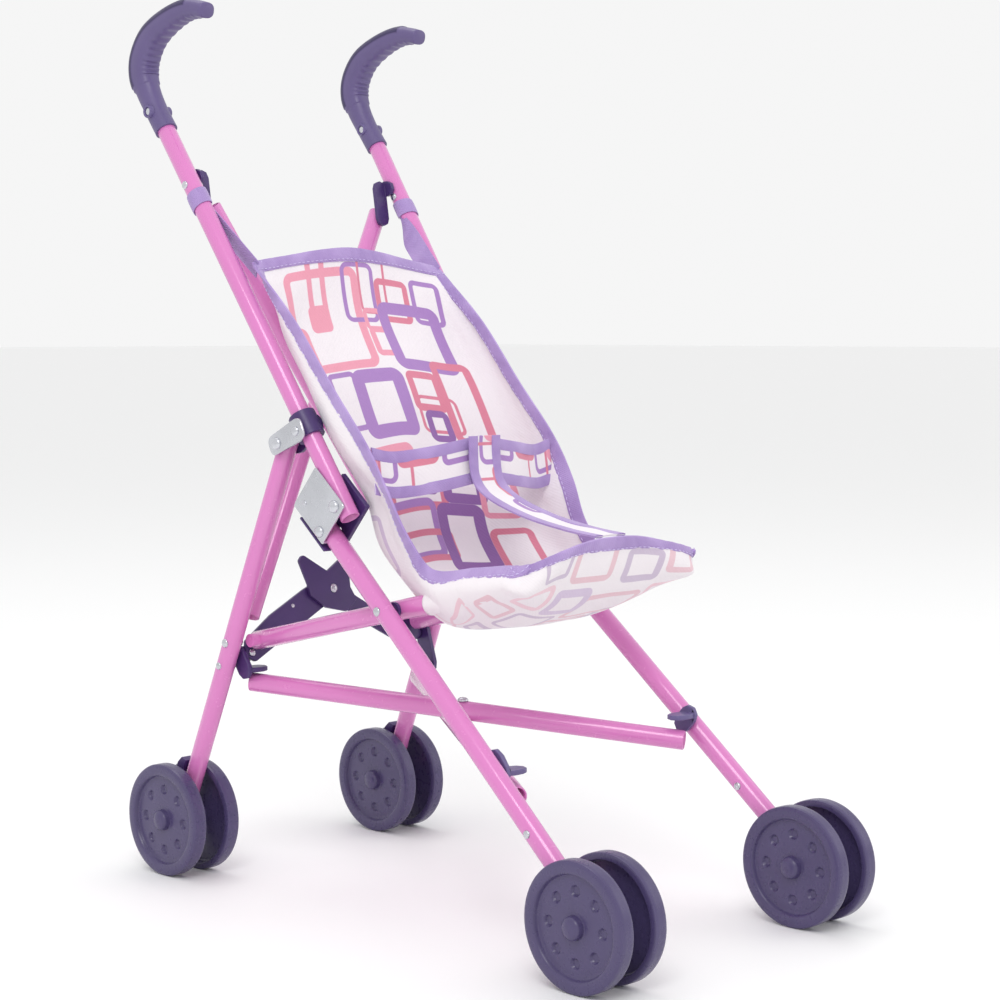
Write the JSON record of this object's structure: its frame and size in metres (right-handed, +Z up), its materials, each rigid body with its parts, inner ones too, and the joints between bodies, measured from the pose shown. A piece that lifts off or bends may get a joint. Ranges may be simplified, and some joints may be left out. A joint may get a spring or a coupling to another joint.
{
  "type": "doll stroller",
  "caption": "Umbrella-folding doll stroller with hooked grips, crossed tube frame, twin wheels and a sling seat with a harness.",
  "frame": {"origin": "on the floor, at the middle of the overall width and length", "axes": "+X to the right of a person pushing, +Y towards the grips and that person, +Z up"},
  "size_m": [0.2288, 0.4427, 0.5562],
  "materials": {
    "pink_enamel": "glossy orchid pink enamel on steel tube",
    "purple_plastic": "muted purple moulded plastic, satin",
    "dark_purple_plastic": "deep purple moulded plastic, satin",
    "zinc_steel": "bright zinc-plated steel",
    "printed_fabric": "white woven nylon with a pink, rose and purple print",
    "lavender_tape": "lavender binding tape and webbing"
  },
  "bodies": {
    "push_left": {"push_tube_left": "pink_enamel", "grip_left": "purple_plastic", "collar_left": "purple_plastic", "collar_ear_left": "zinc_steel", "knee_rivet_left": "zinc_steel", "hanging_strap_left": "lavender_tape", "seat_sling": "printed_fabric", "crotch_strap": "printed_fabric", "waist_belt_left": "printed_fabric", "waist_belt_right": "printed_fabric"},
    "front_leg_left": {"front_leg_left": "pink_enamel", "knee_plate_left": "zinc_steel", "knee_housing_left": "dark_purple_plastic", "rail_spacer_left": "dark_purple_plastic", "front_axle_left": "zinc_steel", "front_knuckle_left": "dark_purple_plastic"},
    "rear_leg_left": {"rear_leg_left": "pink_enamel", "rear_axle_left": "zinc_steel", "rear_knuckle_left": "dark_purple_plastic"},
    "rail_left": {"seat_rail_left": "pink_enamel"},
    "top_bracket_left": {"top_bracket_left": "dark_purple_plastic"},
    "hook_left": {"hook_bracket_left": "dark_purple_plastic"},
    "front_bracket_left": {"front_bracket_left": "dark_purple_plastic"},
    "back_bar_left": {"back_bar_left": "pink_enamel", "back_bar_rivet": "zinc_steel"},
    "lower_bar_left": {"lower_bar_left": "pink_enamel", "lower_bar_rivet": "zinc_steel"},
    "brace_arm_left": {"brace_arm_left": "dark_purple_plastic", "brace_rivet": "zinc_steel"},
    "front_wheel_outer_left": {"front_wheel_outer_left": "purple_plastic"},
    "front_wheel_inner_left": {"front_wheel_inner_left": "purple_plastic"},
    "rear_wheel_outer_left": {"rear_wheel_outer_left": "purple_plastic"},
    "rear_wheel_inner_left": {"rear_wheel_inner_left": "purple_plastic"},
    "push_right": {"push_tube_right": "pink_enamel", "grip_right": "purple_plastic", "collar_right": "purple_plastic", "collar_ear_right": "zinc_steel", "knee_rivet_right": "zinc_steel", "hanging_strap_right": "lavender_tape"},
    "front_leg_right": {"front_leg_right": "pink_enamel", "knee_plate_right": "zinc_steel", "knee_housing_right": "dark_purple_plastic", "rail_spacer_right": "dark_purple_plastic", "front_axle_right": "zinc_steel", "front_knuckle_right": "dark_purple_plastic"},
    "rear_leg_right": {"rear_leg_right": "pink_enamel", "rear_axle_right": "zinc_steel", "rear_knuckle_right": "dark_purple_plastic"},
    "rail_right": {"seat_rail_right": "pink_enamel"},
    "top_bracket_right": {"top_bracket_right": "dark_purple_plastic"},
    "hook_right": {"hook_bracket_right": "dark_purple_plastic"},
    "front_bracket_right": {"front_bracket_right": "dark_purple_plastic"},
    "back_bar_right": {"back_bar_right": "pink_enamel"},
    "lower_bar_right": {"lower_bar_right": "pink_enamel"},
    "brace_arm_right": {"brace_arm_right": "dark_purple_plastic"},
    "front_wheel_outer_right": {"front_wheel_outer_right": "purple_plastic"},
    "front_wheel_inner_right": {"front_wheel_inner_right": "purple_plastic"},
    "rear_wheel_outer_right": {"rear_wheel_outer_right": "purple_plastic"},
    "rear_wheel_inner_right": {"rear_wheel_inner_right": "purple_plastic"},
    "star": {"star_lever": "dark_purple_plastic"}
  },
  "joints": [
    {"name": "fold", "type": "hinge", "parent": "push_left", "child": "front_leg_left", "pos_m": [-0.081, 0.0292, 0.2454], "axis": [1, 0, 0], "range_deg": [-60, 0], "deforming": ["seat_sling", "crotch_strap", "waist_belt_left", "waist_belt_right", "hanging_strap_left", "hanging_strap_right"]},
    {"name": "top_bracket_left_pivot", "type": "hinge", "parent": "push_left", "child": "top_bracket_left", "pos_m": [-0.082, 0.16867, 0.44672], "axis": [1, 0, 0], "range_deg": [-13.3, 0]},
    {"name": "back_bar_left_pivot", "type": "hinge", "parent": "top_bracket_left", "child": "back_bar_left", "pos_m": [-0.076, 0.1687, 0.426], "axis": [0, 0.9866, -0.1632], "range_deg": [0, 13.23]},
    {"name": "back_bar_cross", "type": "hinge", "parent": "back_bar_left", "child": "back_bar_right", "pos_m": [0, 0.14662, 0.29249], "axis": [0, 0.9866, -0.1632], "range_deg": [-25.96, 0]},
    {"name": "back_bar_right_pivot", "type": "hinge", "parent": "back_bar_right", "child": "top_bracket_right", "pos_m": [0.076, 0.1687, 0.426], "axis": [0, 0.9866, -0.1632], "range_deg": [0, 13.23]},
    {"name": "top_bracket_right_pivot", "type": "hinge", "parent": "top_bracket_right", "child": "push_right", "pos_m": [0.082, 0.16867, 0.44672], "axis": [1, 0, 0], "range_deg": [0, 13.3]},
    {"name": "knee_right", "type": "hinge", "parent": "push_right", "child": "front_leg_right", "pos_m": [0.081, 0.0292, 0.2454], "axis": [1, 0, 0], "range_deg": [-60.5, 0]},
    {"name": "rear_leg_left_pivot", "type": "hinge", "parent": "push_left", "child": "rear_leg_left", "pos_m": [-0.084, 0.0774, 0.2814], "axis": [1, 0, 0], "range_deg": [-31.7, 0]},
    {"name": "rail_left_pivot", "type": "hinge", "parent": "rear_leg_left", "child": "rail_left", "pos_m": [-0.076, 0.12162, 0.15515], "axis": [1, 0, 0], "range_deg": [-3.2, 0]},
    {"name": "hook_left_pivot", "type": "hinge", "parent": "rear_leg_left", "child": "hook_left", "pos_m": [-0.081, 0.1317, 0.1454], "axis": [1, 0, 0], "range_deg": [-14.9, 0]},
    {"name": "lower_bar_left_pivot", "type": "hinge", "parent": "hook_left", "child": "lower_bar_left", "pos_m": [-0.0705, 0.1267, 0.127], "axis": [0, -0.1081, 0.9941], "range_deg": [-15.21, 0]},
    {"name": "front_bracket_left_pivot", "type": "hinge", "parent": "front_leg_left", "child": "front_bracket_left", "pos_m": [-0.085, -0.1033, 0.112], "axis": [1, 0, 0], "range_deg": [0, 14.9]},
    {"name": "brace_arm_left_pivot", "type": "hinge", "parent": "hook_left", "child": "brace_arm_left", "pos_m": [-0.0725, 0.1317, 0.1454], "axis": [0, 0.9762, -0.2169], "range_deg": [-34.26, 0]},
    {"name": "rear_leg_right_pivot", "type": "hinge", "parent": "push_right", "child": "rear_leg_right", "pos_m": [0.084, 0.0774, 0.2814], "axis": [1, 0, 0], "range_deg": [-31.7, 0]},
    {"name": "rail_right_pivot", "type": "hinge", "parent": "rear_leg_right", "child": "rail_right", "pos_m": [0.076, 0.12162, 0.15515], "axis": [1, 0, 0], "range_deg": [-3.2, 0]},
    {"name": "hook_right_pivot", "type": "hinge", "parent": "rear_leg_right", "child": "hook_right", "pos_m": [0.081, 0.1317, 0.1454], "axis": [1, 0, 0], "range_deg": [-14.9, 0]},
    {"name": "lower_bar_right_pivot", "type": "hinge", "parent": "hook_right", "child": "lower_bar_right", "pos_m": [0.0705, 0.1267, 0.114], "axis": [0, -0.1081, 0.9941], "range_deg": [0, 15.21]},
    {"name": "front_bracket_right_pivot", "type": "hinge", "parent": "front_leg_right", "child": "front_bracket_right", "pos_m": [0.085, -0.1033, 0.112], "axis": [1, 0, 0], "range_deg": [0, 14.9]},
    {"name": "brace_arm_right_pivot", "type": "hinge", "parent": "hook_right", "child": "brace_arm_right", "pos_m": [0.0725, 0.1317, 0.1454], "axis": [0, 0.9762, -0.2169], "range_deg": [0, 34.26]},
    {"name": "star_pivot", "type": "hinge", "parent": "brace_arm_left", "child": "star", "pos_m": [0, 0.1393, 0.1796], "axis": [0, 0.9762, -0.2169], "range_deg": [0, 34.26]},
    {"name": "front_wheel_outer_left_spin", "type": "hinge", "parent": "front_leg_left", "child": "front_wheel_outer_left", "pos_m": [-0.1065, -0.1853, 0.036], "axis": [1, 0, 0], "continuous": true},
    {"name": "front_wheel_inner_left_spin", "type": "hinge", "parent": "front_leg_left", "child": "front_wheel_inner_left", "pos_m": [-0.0805, -0.1853, 0.036], "axis": [1, 0, 0], "continuous": true},
    {"name": "rear_wheel_outer_left_spin", "type": "hinge", "parent": "rear_leg_left", "child": "rear_wheel_outer_left", "pos_m": [-0.1036, 0.1787, 0.036], "axis": [1, 0, 0], "continuous": true},
    {"name": "rear_wheel_inner_left_spin", "type": "hinge", "parent": "rear_leg_left", "child": "rear_wheel_inner_left", "pos_m": [-0.0776, 0.1787, 0.036], "axis": [1, 0, 0], "continuous": true},
    {"name": "front_wheel_outer_right_spin", "type": "hinge", "parent": "front_leg_right", "child": "front_wheel_outer_right", "pos_m": [0.1065, -0.1853, 0.036], "axis": [1, 0, 0], "continuous": true},
    {"name": "front_wheel_inner_right_spin", "type": "hinge", "parent": "front_leg_right", "child": "front_wheel_inner_right", "pos_m": [0.0805, -0.1853, 0.036], "axis": [1, 0, 0], "continuous": true},
    {"name": "rear_wheel_outer_right_spin", "type": "hinge", "parent": "rear_leg_right", "child": "rear_wheel_outer_right", "pos_m": [0.1036, 0.1787, 0.036], "axis": [1, 0, 0], "continuous": true},
    {"name": "rear_wheel_inner_right_spin", "type": "hinge", "parent": "rear_leg_right", "child": "rear_wheel_inner_right", "pos_m": [0.0776, 0.1787, 0.036], "axis": [1, 0, 0], "continuous": true}
  ],
  "couplings": [
    {"joint": "top_bracket_left_pivot", "follows": "fold", "ratio": 0.21333},
    {"joint": "back_bar_left_pivot", "follows": "fold", "ratio": -0.21219},
    {"joint": "back_bar_cross", "follows": "fold", "ratio": 0.42438},
    {"joint": "back_bar_right_pivot", "follows": "fold", "ratio": -0.21219},
    {"joint": "top_bracket_right_pivot", "follows": "fold", "ratio": -0.21333},
    {"joint": "knee_right", "follows": "fold", "ratio": 1},
    {"joint": "rear_leg_left_pivot", "follows": "fold", "ratio": 0.52},
    {"joint": "rail_left_pivot", "follows": "fold", "ratio": 0.045},
    {"joint": "hook_left_pivot", "follows": "fold", "ratio": 0.24},
    {"joint": "lower_bar_left_pivot", "follows": "fold", "ratio": 0.24522},
    {"joint": "front_bracket_left_pivot", "follows": "fold", "ratio": -0.24},
    {"joint": "brace_arm_left_pivot", "follows": "fold", "ratio": 0.56263},
    {"joint": "rear_leg_right_pivot", "follows": "fold", "ratio": 0.52},
    {"joint": "rail_right_pivot", "follows": "fold", "ratio": 0.045},
    {"joint": "hook_right_pivot", "follows": "fold", "ratio": 0.24},
    {"joint": "lower_bar_right_pivot", "follows": "fold", "ratio": -0.24522},
    {"joint": "front_bracket_right_pivot", "follows": "fold", "ratio": -0.24},
    {"joint": "brace_arm_right_pivot", "follows": "fold", "ratio": -0.56263},
    {"joint": "star_pivot", "follows": "fold", "ratio": -0.56263}
  ]
}
